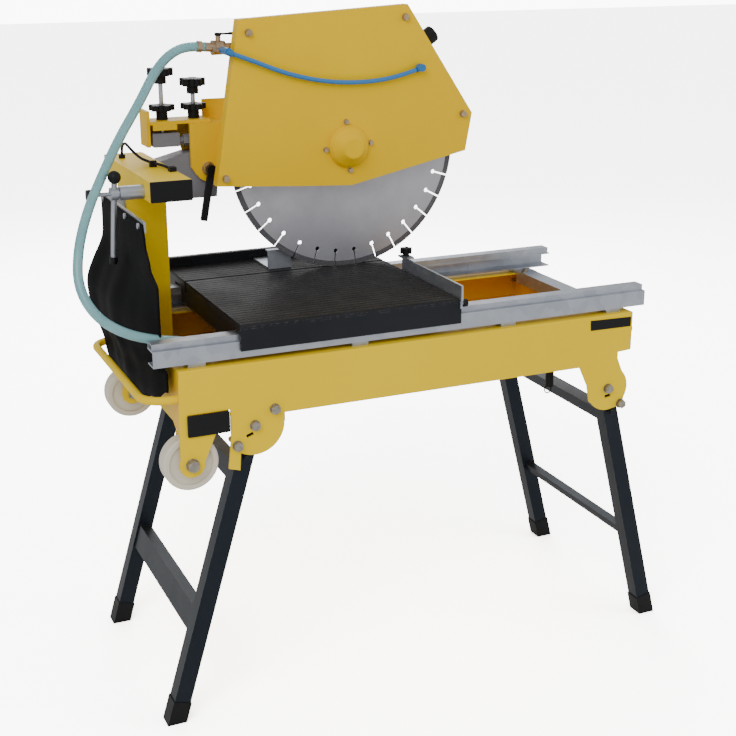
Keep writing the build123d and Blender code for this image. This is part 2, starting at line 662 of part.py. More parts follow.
def head_bolts():
    parts = []
    for x, z in ((-153, 1154), (150, 1173), (272, 992), (-203, 902)):
        washer = rod((x, GUARD_FRONT, z), (0, -1, 0), 7, 1.6)
        parts.append(washer + hexagon((x, GUARD_FRONT - 1.6, z), (0, -1, 0), 11, 6))
    for i in range(4):
        a = math.radians(5 + 90 * i)
        x, z = CAP_X + 45 * math.cos(a), CAP_Z + 45 * math.sin(a)
        parts.append(rod((x, GUARD_FRONT, z), (0, -1, 0), 5.4, 1.4) + rod((x, GUARD_FRONT, z), (0, -1, 0), 4, 5.5))
    pivot = bolt((PIVOT_X, ARM_FRONT, PIVOT_Z), (0, 1, 0), HEAD_PIN_R, 66, 20)
    pivot += hexagon((PIVOT_X, ARM_BACK, PIVOT_Z), (0, 1, 0), 22, 8)
    parts.append(pivot)
    return Compound(children=parts)


def arm_frame():
    """Welded plates: two cheeks with pivot lobes, an end web, the tail's top and end plates, a rear plate."""
    inner = ARM_FRONT + ARM_PLATE
    rear = ARM_BACK - ARM_PLATE
    front_line = [(-246, 994), (-100, 994), (-100, 885), (-205, 885), (-236, 900), (-246, 915)]
    rear_line = [(-316, 994), (-100, 994), (-100, 885), (-205, 885), (-236, 905), (-250, 950), (-316, 952)]
    cheeks = []
    for line, y in ((front_line, ARM_FRONT), (rear_line, rear)):
        cheek = slab_xz(line, y, y + ARM_PLATE)
        cheek += rod((PIVOT_X, y, PIVOT_Z), (0, 1, 0), 23.5, ARM_PLATE)
        cheek -= rod((PIVOT_X, y - 1, PIVOT_Z), (0, 1, 0), HEAD_PIN_R + 0.05, ARM_PLATE + 2)
        cheeks.append(cheek)
    top = block(-316, -205, ARM_FRONT + 4, ARM_BACK, 994, TAIL_TOP)
    for x in (LEFT_SCREW_X, RIGHT_SCREW_X):
        top -= rod((x, SCREW_Y, 980), (0, 0, 1), SCREW_R + 0.1, 40)
    plates = [
        top,
        block(-106, -100, inner, rear, 885, 994),
        block(-205, -106, inner, rear, 988, 994),
        block(-322, -316, 140, ARM_BACK, 954, 1018),
        block(-205, -100, rear, ARM_BACK, 994, 1030),
        block(-312, -268, ARM_FRONT + 4, ARM_FRONT + 7, 984, 994),
    ]
    return Compound(children=cheeks + plates)


def arm_block():
    """Grey steel stop block and nuts under the tail of the arm."""
    steel = block(-312, -262, 140, ARM_BACK - ARM_PLATE, 953, 978)
    steel -= rod((LEFT_SCREW_X, SCREW_Y, 940), (0, 0, 1), SCREW_R + 0.1, 60)
    steel = fillet(steel.edges().filter_by(Axis.Y), 3)
    return steel + hexagon((-254, 151, 963), (1, 0, 0), 18, 14) + rod((-263, 151, 963), (1, 0, 0), 6, 27)


def motor_body():
    y0 = ARM_FRONT
    body = rod((SPINDLE_X, y0 + 10, SPINDLE_Z), (0, 1, 0), MOTOR_R, MOTOR_END - y0 - 10)
    body += rod((SPINDLE_X, y0, SPINDLE_Z), (0, 1, 0), 92, 12)
    fins = 20
    for i in range(fins):
        fin = Pos(0, 0, MOTOR_R) * Box(3, 130, 12)
        place = Pos(SPINDLE_X, y0 + 92, SPINDLE_Z) * Rot(0, 360 * i / fins, 0)
        body += place * fin
    body += block(SPINDLE_X - 45, SPINDLE_X + 45, y0 + 40, y0 + 130, SPINDLE_Z + 60, SPINDLE_Z + 104)
    body += rod((SPINDLE_X - 45, y0 + 85, SPINDLE_Z + 90), (-1, 0, 0), 9, 16)
    body -= rod((SPINDLE_X, y0 - 1, SPINDLE_Z), (0, 1, 0), 12.58, 30)
    return body


def motor_fan_cover():
    y0 = MOTOR_END - 26
    cover = rod((SPINDLE_X, y0, SPINDLE_Z), (0, 1, 0), MOTOR_R + 10, 58)
    cover = fillet(cover.edges().group_by(Axis.Y)[-1], 12)
    cover -= rod((SPINDLE_X, y0 - 1, SPINDLE_Z), (0, 1, 0), MOTOR_R, 27)
    for ring in (22, 40, 58):
        for i in range(10):
            a = math.radians(36 * i + ring)
            hole = (SPINDLE_X + ring * math.cos(a), y0 + 48, SPINDLE_Z + ring * math.sin(a))
            cover -= rod(hole, (0, 1, 0), 5, 14)
    return cover


def head_grip():
    nx, nz = GUARD_SLOPE
    base = (203.5 - 5.85 * nx, 104, 1124 - 5.85 * nz)
    grip = rod(base, (nx, 0, nz), 16, 36)
    far = grip.faces().sort_by(Axis.X)[-1]
    return fillet(far.edges(), 4)


def water_valve():
    """Ball valve: hose barb and clamp ring, two hexagons, round ball housing, stem and stub."""
    start = Vector(*HOSE_ROUTE[0])
    back = (start - Vector(*HOSE_ROUTE[1])).normalized()
    valve = rod(tuple(start), tuple(back), HOSE_R, 14)
    valve += hexagon((-211, VALVE_Y, VALVE_Z), (1, 0, 0), 22, 7)
    valve += ball_housing()
    valve += hexagon((-192, VALVE_Y, VALVE_Z), (1, 0, 0), 20, 6)
    valve += rod((-187, VALVE_Y, VALVE_Z), (1, 0, 0), 8, 24.2)
    valve += rod((-198, VALVE_Y, 1139), (0, 0, 1), 4.5, 9)
    clamp_at = start - back * 7
    ring = rod(tuple(clamp_at), tuple(back * -1), HOSE_R + 1.6, 8) - rod(tuple(clamp_at), tuple(back * -1), HOSE_R, 8)
    return Compound(children=[valve, ring])


def ball_housing():
    return rod((-204.5, VALVE_Y, VALVE_Z), (1, 0, 0), 12.5, 13)


def valve_lever():
    lever = rod((-198, 95, 1148.4), (0, 0, 1), 6, 5)
    lever += block(-203, -172, 91, 99, 1150, 1153)
    lever += rod((-173, 95, 1149.5), (0, 0, 1), 5.5, 4.5)
    return lever


def hose_fittings():
    """Blue push-in elbow on the valve and the steel elbow on the cover."""
    first = Vector(*BLUE_ROUTE[0])
    lead = (Vector(*BLUE_ROUTE[1]) - first).normalized()
    elbow = rod((-194, 83.5, 1124), (0, -1, 0), 6.5, 34)
    elbow += rod(tuple(first), tuple(lead * -1), 6, 12)
    elbow -= ball_housing()
    elbow -= hexagon((-192, VALVE_Y, VALVE_Z), (1, 0, 0), 20, 6)
    last = Vector(*BLUE_ROUTE[-1])
    away = (last - Vector(*BLUE_ROUTE[-2])).normalized()
    outlet = rod((179, GUARD_FRONT, 1082), (0, -1, 0), 7, 15)
    outlet += rod(tuple(last), tuple(away), 5.5, 9)
    return Compound(children=[elbow, outlet])


def blade_disc():
    core = rod((SPINDLE_X, BLADE_Y - BLADE_T / 2, SPINDLE_Z), (0, 1, 0), BLADE_R - SEGMENT_H, BLADE_T)
    centre = Pos(SPINDLE_X, BLADE_Y, SPINDLE_Z)
    cuts = []
    for i in range(SEGMENTS):
        turn = centre * Rot(0, 360 * (i + 0.5) / SEGMENTS, 0)
        cuts.append(turn * Pos(0, 0, (KEYHOLE_R + BLADE_R) / 2) * Box(3, 10, BLADE_R - KEYHOLE_R))
        cuts.append(turn * Pos(0, 0, KEYHOLE_R) * Rot(90, 0, 0) * Cylinder(4.2, 10))
    core -= cuts
    return core - rod((SPINDLE_X, BLADE_Y - 10, SPINDLE_Z), (0, 1, 0), 12.5, 20)


def blade_segments():
    ring = rod((SPINDLE_X, BLADE_Y - SEGMENT_T / 2, SPINDLE_Z), (0, 1, 0), BLADE_R, SEGMENT_T)
    ring -= rod((SPINDLE_X, BLADE_Y - 10, SPINDLE_Z), (0, 1, 0), BLADE_R - SEGMENT_H, 20)
    centre = Pos(SPINDLE_X, BLADE_Y, SPINDLE_Z)
    cuts = []
    for i in range(SEGMENTS):
        cuts.append(centre * Rot(0, 360 * (i + 0.5) / SEGMENTS, 0) * Pos(0, 0, BLADE_R - 6) * Box(3, 10, 30))
    return Compound(children=(ring - cuts).solids())


def blade_spindle():
    spindle = rod((SPINDLE_X, 72, SPINDLE_Z), (0, 1, 0), 12.5, 84)
    spindle += rod((SPINDLE_X, BLADE_Y - BLADE_T / 2 - 8, SPINDLE_Z), (0, 1, 0), 55, 8)
    spindle += rod((SPINDLE_X, BLADE_Y + BLADE_T / 2, SPINDLE_Z), (0, 1, 0), 55, 8)
    return spindle + hexagon((SPINDLE_X, 74, SPINDLE_Z), (0, 1, 0), 36, 14)


# ------------------------------------------------------------------ hand screws and levers
def stop_screw(x, tip, top):
    return rod((x, SCREW_Y, tip), (0, 0, 1), SCREW_R, top - tip)


def stop_knob(x, top):
    knob = Pos(x, SCREW_Y, top - STAR_T) * star(STAR_R, STAR_T, 5)
    knob += rod((x, SCREW_Y, top - 27), (0, 0, 1), 10.5, 18)
    return knob - rod((x, SCREW_Y, top - 40), (0, 0, 1), SCREW_R + 0.05, 34)


def lock_knob(x):
    knob = Pos(x, SCREW_Y, 1016.5) * star(STAR_R, 10, 5)
    knob += rod((x, SCREW_Y, TAIL_TOP + 0.4), (0, 0, 1), 10.5, 17)
    return knob - rod((x, SCREW_Y, 990), (0, 0, 1), SCREW_R + 0.08, 60)


def cam_lever():
    lever = rod((PIVOT_X, 108, PIVOT_Z), (0, 1, 0), 9, 9)
    arm = Pos(PIVOT_X, 113, PIVOT_Z) * Rot(0, 11, 0) * Pos(0, 0, -50) * Box(12, 7, 88)
    arm = fillet(arm.edges().filter_by(Axis.Y), 2)
    return lever + arm


PARTS = {
    "side_plate_front": lambda: side_plate(-1),
    "side_plate_rear": lambda: side_plate(1),
    "tank_tray": tank_tray,
    "wheel_forks": wheel_forks,
    "cross_tube": cross_tube,
    "column": column,
    "beam": beam,
    "tube_end_caps": tube_end_caps,
    "hinge_lug": hinge_lug,
    "rail_front": rail_front,
    "rail_rear": rail_rear,
    "cross_strip": cross_strip,
    "frame_bolts": frame_bolts,
    "carry_handle": carry_handle,
    "curtain": curtain,
    "curtain_strip": curtain_strip,
    "pump": pump,
    "water_hose": lambda: tube_along("water_hose", HOSE_ROUTE, HOSE_R, HOSE_BORE),
    "drain_plug": drain_plug,
    "clamp_boss": clamp_boss,
    "clamp_bar": clamp_bar,
    "label_plate": label_plate,
    "beam_cable": beam_cable,
    "left_leg_frame": left_leg_frame,
    "left_feet": left_feet,
    "right_leg_frame": right_leg_frame,
    "right_feet": right_feet,
    "wheel_front": lambda: wheel(-1),
    "wheel_rear": lambda: wheel(1),
    "table_frame": table_frame,
    "table_mats": table_mats,
    "back_fence": back_fence,
    "rollers_left": lambda: roller_pair(ROLLER_XS[0]),
    "rollers_right": lambda: roller_pair(ROLLER_XS[1]),
    "mitre_fence": mitre_fence,
    "fence_knob": fence_knob,
    "stop_block": stop_block,
    "guard_cover": guard_cover,
    "guard_shell": guard_shell,
    "hub_cap": hub_cap,
    "head_bolts": head_bolts,
    "arm_frame": arm_frame,
    "arm_block": arm_block,
    "motor_body": motor_body,
    "motor_fan_cover": motor_fan_cover,
    "head_grip": head_grip,
    "water_valve": water_valve,
    "valve_lever": valve_lever,
    "hose_fittings": hose_fittings,
    "blue_hose": lambda: tube_along("blue_hose", BLUE_ROUTE, BLUE_R),
    "blade_disc": blade_disc,
    "blade_segments": blade_segments,
    "blade_spindle": blade_spindle,
    "stop_screw_left": lambda: stop_screw(LEFT_SCREW_X, 972, LEFT_TOP - 6.4),
    "stop_knob_left": lambda: stop_knob(LEFT_SCREW_X, LEFT_TOP),
    "lock_knob_left": lambda: lock_knob(LEFT_SCREW_X),
    "stop_screw_right": lambda: stop_screw(RIGHT_SCREW_X, 980, RIGHT_TOP - 6.4),
    "stop_knob_right": lambda: stop_knob(RIGHT_SCREW_X, RIGHT_TOP),
    "lock_knob_right": lambda: lock_knob(RIGHT_SCREW_X),
    "cam_lever": cam_lever,
}

os.makedirs("parts", exist_ok=True)
for node, make in PARTS.items():
    solids = [solid.moved(Location(ORIGIN)) for solid in make().solids()]
    shape = solids[0] if len(solids) == 1 else Compound(solids)
    export_step(shape, "parts/%s.step" % node)
    box = shape.bounding_box()
    low, high = box.min, box.max
    print("%-17s %2d solids  X %.1f..%.1f  Y %.1f..%.1f  Z %.1f..%.1f" % (
        node, len(solids), low.X, high.X, low.Y, high.Y, low.Z, high.Z))
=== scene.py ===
import math
import bpy
import bmesh
from mathutils import Matrix, Vector


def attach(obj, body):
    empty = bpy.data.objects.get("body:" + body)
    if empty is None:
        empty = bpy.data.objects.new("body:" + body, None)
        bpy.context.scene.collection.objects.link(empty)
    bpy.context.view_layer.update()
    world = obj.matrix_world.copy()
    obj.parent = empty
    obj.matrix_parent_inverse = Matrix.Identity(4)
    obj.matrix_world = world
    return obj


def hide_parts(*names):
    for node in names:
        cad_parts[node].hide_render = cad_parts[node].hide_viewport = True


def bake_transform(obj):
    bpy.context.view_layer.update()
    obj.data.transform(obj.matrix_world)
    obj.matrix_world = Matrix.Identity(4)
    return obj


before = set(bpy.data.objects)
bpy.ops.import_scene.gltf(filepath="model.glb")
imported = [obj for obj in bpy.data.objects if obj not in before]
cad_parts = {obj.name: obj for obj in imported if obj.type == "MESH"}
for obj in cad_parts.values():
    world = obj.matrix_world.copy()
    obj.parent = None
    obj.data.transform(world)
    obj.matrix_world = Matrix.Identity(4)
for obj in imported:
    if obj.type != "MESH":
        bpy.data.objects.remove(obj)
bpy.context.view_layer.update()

# ---------------------------------------------------------------- camera
# Three-quarter view from the operator's side, a little above the blade guard, with a
# moderately long lens, so that the frame, table and tank all stand clear of each other.
camera_data = bpy.data.cameras.new("camera")
camera_data.lens = 64.61
camera_data.sensor_width = 36.0
camera_data.clip_end = 50.0
camera_data.dof.use_dof = False
camera = bpy.data.objects.new("camera", camera_data)
bpy.context.scene.collection.objects.link(camera)
yaw, pitch, roll = (math.radians(a) for a in (23.86, 18.08, -0.16))
look = Vector((math.sin(yaw) * math.cos(pitch), math.cos(yaw) * math.cos(pitch), -math.sin(pitch)))
right = Vector((math.cos(yaw), -math.sin(yaw), 0))
up = right.cross(look)
right, up = right * math.cos(roll) + up * math.sin(roll), up * math.cos(roll) - right * math.sin(roll)
camera.matrix_world = Matrix.Translation((-0.98046, -2.24748, 1.31242)) @ Matrix(
    (right, up, -look)).transposed().to_4x4()
bpy.context.scene.camera = camera

# ---------------------------------------------------------------- studio
# A plain pale floor that runs out of sight, and large soft lights: a broad key from the
# upper left, a fill from the right and a rim from behind.
bpy.ops.mesh.primitive_plane_add(size=40, location=(0, 0, 0))
floor = bpy.context.object
floor.name = "studio_floor"
floor_paint = bpy.data.materials.new("studio_floor")
floor_paint.use_nodes = True
floor_tree = floor_paint.node_tree
floor_shader = floor_tree.nodes["Principled BSDF"]
floor_shader.inputs["Base Color"].default_value = (0.86, 0.86, 0.86, 1)
floor_shader.inputs["Roughness"].default_value = 0.9
floor_shader.inputs["Specular IOR Level"].default_value = 0.1
floor_bright = floor_tree.nodes.new("ShaderNodeBsdfDiffuse")
floor_bright.inputs["Color"].default_value = (9.0, 9.0, 9.0, 1)
floor_mix = floor_tree.nodes.new("ShaderNodeMixShader")
floor_seen = floor_tree.nodes.new("ShaderNodeLightPath")
floor_tree.links.new(floor_seen.outputs["Is Camera Ray"], floor_mix.inputs[0])
floor_tree.links.new(floor_shader.outputs[0], floor_mix.inputs[1])
floor_tree.links.new(floor_bright.outputs[0], floor_mix.inputs[2])
floor_tree.links.new(floor_mix.outputs[0], floor_tree.nodes["Material Output"].inputs["Surface"])
floor.data.materials.append(floor_paint)
world = bpy.data.worlds.new("studio")
bpy.context.scene.world = world
world.use_nodes = True
sky = world.node_tree.nodes["Background"]
sky.inputs["Color"].default_value = (1.0, 1.0, 1.0, 1)
sky_seen = world.node_tree.nodes.new("ShaderNodeLightPath")
sky_strength = world.node_tree.nodes.new("ShaderNodeMapRange")
sky_strength.inputs["To Min"].default_value = 0.62
sky_strength.inputs["To Max"].default_value = 10.0
world.node_tree.links.new(sky_seen.outputs["Is Camera Ray"], sky_strength.inputs["Value"])
world.node_tree.links.new(sky_strength.outputs["Result"], sky.inputs["Strength"])
for name, place, target, size, power in (
    ("key_light", (-2.2, -2.6, 3.2), (0, 0, 0.6), 2.2, 78),
    ("fill_light", (3.2, -2.2, 1.8), (0, 0, 0.6), 2.4, 26),
    ("rim_light", (0.8, 3.0, 2.6), (0, 0, 0.8), 2.0, 38),
):
    lamp_data = bpy.data.lights.new(name, "AREA")
    lamp_data.size = size
    lamp_data.energy = power
    lamp = bpy.data.objects.new(name, lamp_data)
    lamp.location = place
    lamp.rotation_euler = (Vector(target) - Vector(place)).to_track_quat("-Z", "Y").to_euler()
    bpy.context.scene.collection.objects.link(lamp)

# ---------------------------------------------------------------- water hose
# Clear, slightly blue-green flexible hose, about 16 mm outside. It leaves the valve on the
# guard, arcs over the column's side and drops over the tank's edge to the pump. One end
# is at the valve on the cutting head, the other lies in the tank.
HOSE_OUTER = 0.00825
HOSE_INNER = 0.0062
HOSE_POINTS = [
    (-0.2805, 0.036, 1.130), (-0.3125, 0.036, 1.133), (-0.3455, 0.032, 1.121), (-0.3765, 0.023, 1.093),
    (-0.4115, 0.005, 1.042), (-0.4565, -0.025, 0.990), (-0.4985, -0.069, 0.938), (-0.5365, -0.111, 0.888),
    (-0.5645, -0.151, 0.834), (-0.5755, -0.183, 0.780), (-0.5555, -0.207, 0.734), (-0.5145, -0.222, 0.705),
    (-0.4625, -0.228, 0.689), (-0.4095, -0.227, 0.681), (-0.3775, -0.224, 0.654), (-0.3695, -0.220, 0.616),
]


def smooth_line(points, steps=12):
    """The points of a NURBS curve through a given route."""
    data = bpy.data.curves.new("route", "CURVE")
    data.dimensions = "3D"
    data.resolution_u = steps
    spline = data.splines.new("NURBS")
    spline.points.add(len(points) - 1)
    for point, at in zip(spline.points, points):
        point.co = (*at, 1)
    spline.order_u = 3
    spline.use_endpoint_u = True
    holder = bpy.data.objects.new("route", data)
    bpy.context.scene.collection.objects.link(holder)
    bpy.context.view_layer.update()
    line = bpy.data.meshes.new_from_object(holder)
    found = [v.co.copy() for v in line.vertices]
    bpy.data.objects.remove(holder)
    bpy.data.meshes.remove(line)
    return found


def tube(name, line, radius, inner=0.0, around=24):
    """A round tube along a line, hollow if inner is given, with flat ends."""
    mesh = bmesh.new()
    loops = []
    side = Vector((0, 1, 0))
    for layer_radius in ((radius, inner) if inner else (radius,)):
        rings = []
        for i, at in enumerate(line):
            ahead = line[min(i + 1, len(line) - 1)] - line[max(i - 1, 0)]
            ahead.normalize()
            side = (side - ahead * side.dot(ahead)).normalized()
            across = ahead.cross(side)
            rings.append([mesh.verts.new(at + (side * math.cos(a) + across * math.sin(a)) * layer_radius)
                          for a in (math.tau * k / around for k in range(around))])
        side = Vector((0, 1, 0))
        for first, second in zip(rings, rings[1:]):
            for k in range(around):
                corner = (first[k], first[(k + 1) % around], second[(k + 1) % around], second[k])
                mesh.faces.new(corner if layer_radius == radius else corner[::-1])
        loops.append(rings)
    for end in (0, -1):
        if inner:
            for k in range(around):
                a, b = loops[0][end][k], loops[0][end][(k + 1) % around]
                c, d = loops[1][end][(k + 1) % around], loops[1][end][k]
                mesh.faces.new((a, d, c, b) if end == 0 else (a, b, c, d))
        else:
            mesh.faces.new(loops[0][end][::-1] if end == 0 else loops[0][end])
    bmesh.ops.recalc_face_normals(mesh, faces=mesh.faces)
    data = bpy.data.meshes.new(name)
    mesh.to_mesh(data)
    mesh.free()
    for face in data.polygons:
        face.use_smooth = True
    piece = bpy.data.objects.new(name, data)
    bpy.context.scene.collection.objects.link(piece)
    return piece


def blank_material(name):
    material = bpy.data.materials.new(name)
    material.use_nodes = True
    tree = material.node_tree
    return material, tree, tree.nodes["Principled BSDF"]


def node(tree, kind, inputs=None, **settings):
    """Adds a shader node, sets its properties and fills or links its named inputs."""
    made = tree.nodes.new(kind)
    for key, value in settings.items():
        setattr(made, key, value)
    for key, value in (inputs or {}).items():
        if isinstance(value, bpy.types.NodeSocket):
            tree.links.new(value, made.inputs[key])
        else:
            made.inputs[key].default_value = value
    return made


def ranged(tree, value, frm=(0.0, 1.0), to=(0.0, 1.0)):
    """Maps a value from one range to another, clamped."""
    return node(tree, "ShaderNodeMapRange", {"Value": value, "From Min": frm[0], "From Max": frm[1],
                                             "To Min": to[0], "To Max": to[1]})


def calc(tree, operation, first, second):
    return node(tree, "ShaderNodeMath", {0: first, 1: second}, operation=operation)


def mixed(tree, share, first, second):
    """Mixes two colours, each given as three numbers or as a socket."""
    ends = [c if isinstance(c, bpy.types.NodeSocket) else (*c, 1) for c in (first, second)]
    return node(tree, "ShaderNodeMix", {"Factor": share, "A": ends[0], "B": ends[1]}, data_type="RGBA")


def effect_group(name, numbers, outputs):
    """An empty shader group with named number inputs and named outputs."""
    group = bpy.data.node_groups.new(name, "ShaderNodeTree")
    for label, value in numbers.items():
        socket = group.interface.new_socket(name=label, in_out="INPUT", socket_type="NodeSocketFloat")
        socket.default_value = value
    for label, kind in outputs.items():
        group.interface.new_socket(name=label, in_out="OUTPUT", socket_type=kind)
    return group, group.nodes.new("NodeGroupInput"), group.nodes.new("NodeGroupOutput")


def grain_group():
    """Fine even grain: a value and a bump normal, for moulded and sprayed surfaces."""
    group, source, result = effect_group(
        "Fine grain", {"Scale": 900.0, "Depth": 0.0001, "Strength": 0.3},
        {"Value": "NodeSocketFloat", "Normal": "NodeSocketVector"})
    place = node(group, "ShaderNodeTexCoord")
    fine = node(group, "ShaderNodeTexNoise", {"Vector": place.outputs["Object"],
                                              "Scale": source.outputs["Scale"],
                                              "Detail": 3.0, "Roughness": 0.6})
    bump = node(group, "ShaderNodeBump", {"Height": fine.outputs["Fac"], "Distance": source.outputs["Depth"],
                                          "Strength": source.outputs["Strength"]})
    group.links.new(fine.outputs["Fac"], result.inputs["Value"])
    group.links.new(bump.outputs["Normal"], result.inputs["Normal"])
    return group


GRAIN = grain_group()


def patch_group():
    """Broad uneven patches, from 0 to 1, for handling, fading and damp."""
    group, source, result = effect_group(
        "Uneven patches", {"Scale": 6.0, "Low": 0.35, "High": 0.7, "Stretch": 1.0},
        {"Mask": "NodeSocketFloat"})
    place = node(group, "ShaderNodeTexCoord")
    stretch = node(group, "ShaderNodeCombineXYZ", {"X": 1.0, "Y": 1.0, "Z": source.outputs["Stretch"]})
    scaled = node(group, "ShaderNodeVectorMath", {0: place.outputs["Object"], 1: stretch.outputs[0]},
                  operation="MULTIPLY")
    cloud = node(group, "ShaderNodeTexNoise", {"Vector": scaled.outputs[0], "Scale": source.outputs["Scale"],
                                               "Detail": 5.0, "Roughness": 0.62})
    mask = ranged(group, cloud.outputs["Fac"], (source.outputs["Low"], source.outputs["High"]))
    group.links.new(mask.outputs["Result"], result.inputs["Mask"])
    return group


PATCHES = patch_group()


def use_group(tree, group, **numbers):
    made = tree.nodes.new("ShaderNodeGroup")
    made.node_tree = group
    for label, value in numbers.items():
        made.inputs[label].default_value = value
    return made


def clear_hose_material():
    material, tree, shader = blank_material("clear hose")
    patches = use_group(tree, PATCHES, Scale=14.0, Low=0.3, High=0.75)
    grain = use_group(tree, GRAIN, Scale=380.0, Depth=0.0002, Strength=0.25)
    tint = mixed(tree, patches.outputs["Mask"], (0.33, 0.67, 0.71), (0.50, 0.82, 0.84))
    haze = ranged(tree, patches.outputs["Mask"], to=(0.10, 0.26))
    tree.links.new(tint.outputs["Result"], shader.inputs["Base Color"])
    tree.links.new(haze.outputs["Result"], shader.inputs["Roughness"])
    tree.links.new(grain.outputs["Normal"], shader.inputs["Normal"])
    shader.inputs["Transmission Weight"].default_value = 0.55
    shader.inputs["IOR"].default_value = 1.45
    shader.inputs["Subsurface Weight"].default_value = 0.15
    shader.inputs["Subsurface Radius"].default_value = (0.01, 0.012, 0.012)
    return material


hose_line = smooth_line(HOSE_POINTS)
hose = tube("clear_water_hose", hose_line, HOSE_OUTER, HOSE_INNER)
hose.data.materials.append(clear_hose_material())
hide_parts("water_hose")
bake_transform(hose)

# ---------------------------------------------------------------- yellow steelwork
# Side plates with folded top edges, tray, cross tube, column, beam and carry handle: laser-cut
# and folded sheet and square tube, welded, with one thick coat of yellow powder paint. Edges
# are slightly rounded by the coat, and chipped where the machine is handled.


def wear_group():
    """Worn edges: a mask that is 1 on sharp outer edges, broken up by noise."""
    group, source, result = effect_group(
        "Edge wear", {"Width": 0.0016, "Breakup": 120.0, "Amount": 0.6}, {"Mask": "NodeSocketFloat"})
    place = node(group, "ShaderNodeTexCoord")
    round_normal = node(group, "ShaderNodeBevel", {"Radius": source.outputs["Width"]}, samples=4)
    flat = node(group, "ShaderNodeNewGeometry")
    same = node(group, "ShaderNodeVectorMath", {0: round_normal.outputs[0], 1: flat.outputs["Normal"]},
                operation="DOT_PRODUCT")
    edge = ranged(group, same.outputs["Value"], (0.99, 0.86))
    cloud = node(group, "ShaderNodeTexNoise", {"Vector": place.outputs["Object"],
                                               "Scale": source.outputs["Breakup"],
                                               "Detail": 4.0})
    broken = ranged(group, cloud.outputs["Fac"], (0.46, 0.60))
    both = calc(group, "MULTIPLY", edge.outputs["Result"], broken.outputs["Result"])
    mask = calc(group, "MULTIPLY", both.outputs[0], source.outputs["Amount"])
    group.links.new(mask.outputs[0], result.inputs["Mask"])
    return group


EDGE_WEAR = wear_group()


def dust_group():
    """Fine dust that settles on faces that look up."""
    group, source, result = effect_group("Settled dust", {"Scale": 35.0, "Amount": 0.3},
                                         {"Mask": "NodeSocketFloat"})
    place = node(group, "ShaderNodeTexCoord")
    shape = node(group, "ShaderNodeNewGeometry")
    parts = node(group, "ShaderNodeSeparateXYZ", {"Vector": shape.outputs["Normal"]})
    level = ranged(group, parts.outputs["Z"], (0.35, 0.95))
    cloud = node(group, "ShaderNodeTexNoise", {"Vector": place.outputs["Object"],
                                               "Scale": source.outputs["Scale"],
                                               "Detail": 6.0, "Roughness": 0.7})
    spots = ranged(group, cloud.outputs["Fac"], (0.38, 0.72))
    both = calc(group, "MULTIPLY", level.outputs["Result"], spots.outputs["Result"])
    mask = calc(group, "MULTIPLY", both.outputs[0], source.outputs["Amount"])
    group.links.new(mask.outputs[0], result.inputs["Mask"])
    return group


DUST = dust_group()


def paint_material(name, colour, faded, rough=0.33, chips=0.5, dust=0.2, under=(0.16, 0.15, 0.14), peel=0.35,
                   gloss=0.28):
    """Powder paint: slow colour drift, fine orange peel, chipped edges and a little dust."""
    material, tree, shader = blank_material(name)
    patches = use_group(tree, PATCHES, Scale=4.5, Low=0.35, High=0.75, Stretch=0.7)
    grain = use_group(tree, GRAIN, Scale=420.0, Depth=0.00012, Strength=peel)
    wear = use_group(tree, EDGE_WEAR, Amount=chips)
    settled = use_group(tree, DUST, Amount=dust)
    drift = mixed(tree, patches.outputs["Mask"], colour, faded)
    chipped = mixed(tree, wear.outputs["Mask"], drift.outputs["Result"], under)
    dusty = mixed(tree, settled.outputs["Mask"], chipped.outputs["Result"], (0.34, 0.32, 0.27))
    shine = ranged(tree, patches.outputs["Mask"], to=(rough, rough + 0.14))
    shine = calc(tree, "ADD", shine.outputs["Result"], settled.outputs["Mask"])
    tree.links.new(dusty.outputs["Result"], shader.inputs["Base Color"])
    tree.links.new(shine.outputs[0], shader.inputs["Roughness"])
    tree.links.new(grain.outputs["Normal"], shader.inputs["Normal"])
    shader.inputs["Specular IOR Level"].default_value = gloss
    shader.inputs["Specular Tint"].default_value = (*(0.15 + 0.85 * c / max(colour) for c in colour), 1)
    return material


def coat(names, material, edge=0.0, segments=2):
    """Gives CAD nodes a material and, where wanted, small rounded edges."""
    for name in names.split():
        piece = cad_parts[name]
        piece.data.materials.clear()
        piece.data.materials.append(material)
        if edge:
            rounding = piece.modifiers.new("rounded edges", "BEVEL")
            rounding.width = edge
            rounding.segments = segments
            rounding.limit_method = "ANGLE"
            rounding.angle_limit = math.radians(35)
            rounding.harden_normals = True


yellow = paint_material("side plate yellow", (0.92, 0.62, 0.002), (0.94, 0.66, 0.006), rough=0.40, dust=0.08)
# The tray's inside has the same yellow powder paint as the side plates. This darker, more orange copy is
# painted shade for the inside of the tank.
shaded_tray_yellow = paint_material("tray yellow with painted shade", (0.88, 0.50, 0.002), (0.92, 0.56, 0.004), rough=0.34,
                               dust=0.15)
coat("side_plate_front side_plate_rear cross_tube wheel_forks", yellow, 0.0008)
coat("column beam", yellow, 0.003, 3)
coat("carry_handle", yellow)
# The tray takes the darker copy of the yellow, which is painted shade inside the tank.
coat("tank_tray", shaded_tray_yellow, 0.0008)

# ---------------------------------------------------------------- label plate
# Thin dark plate on the front side panel, at its right end, left blank.


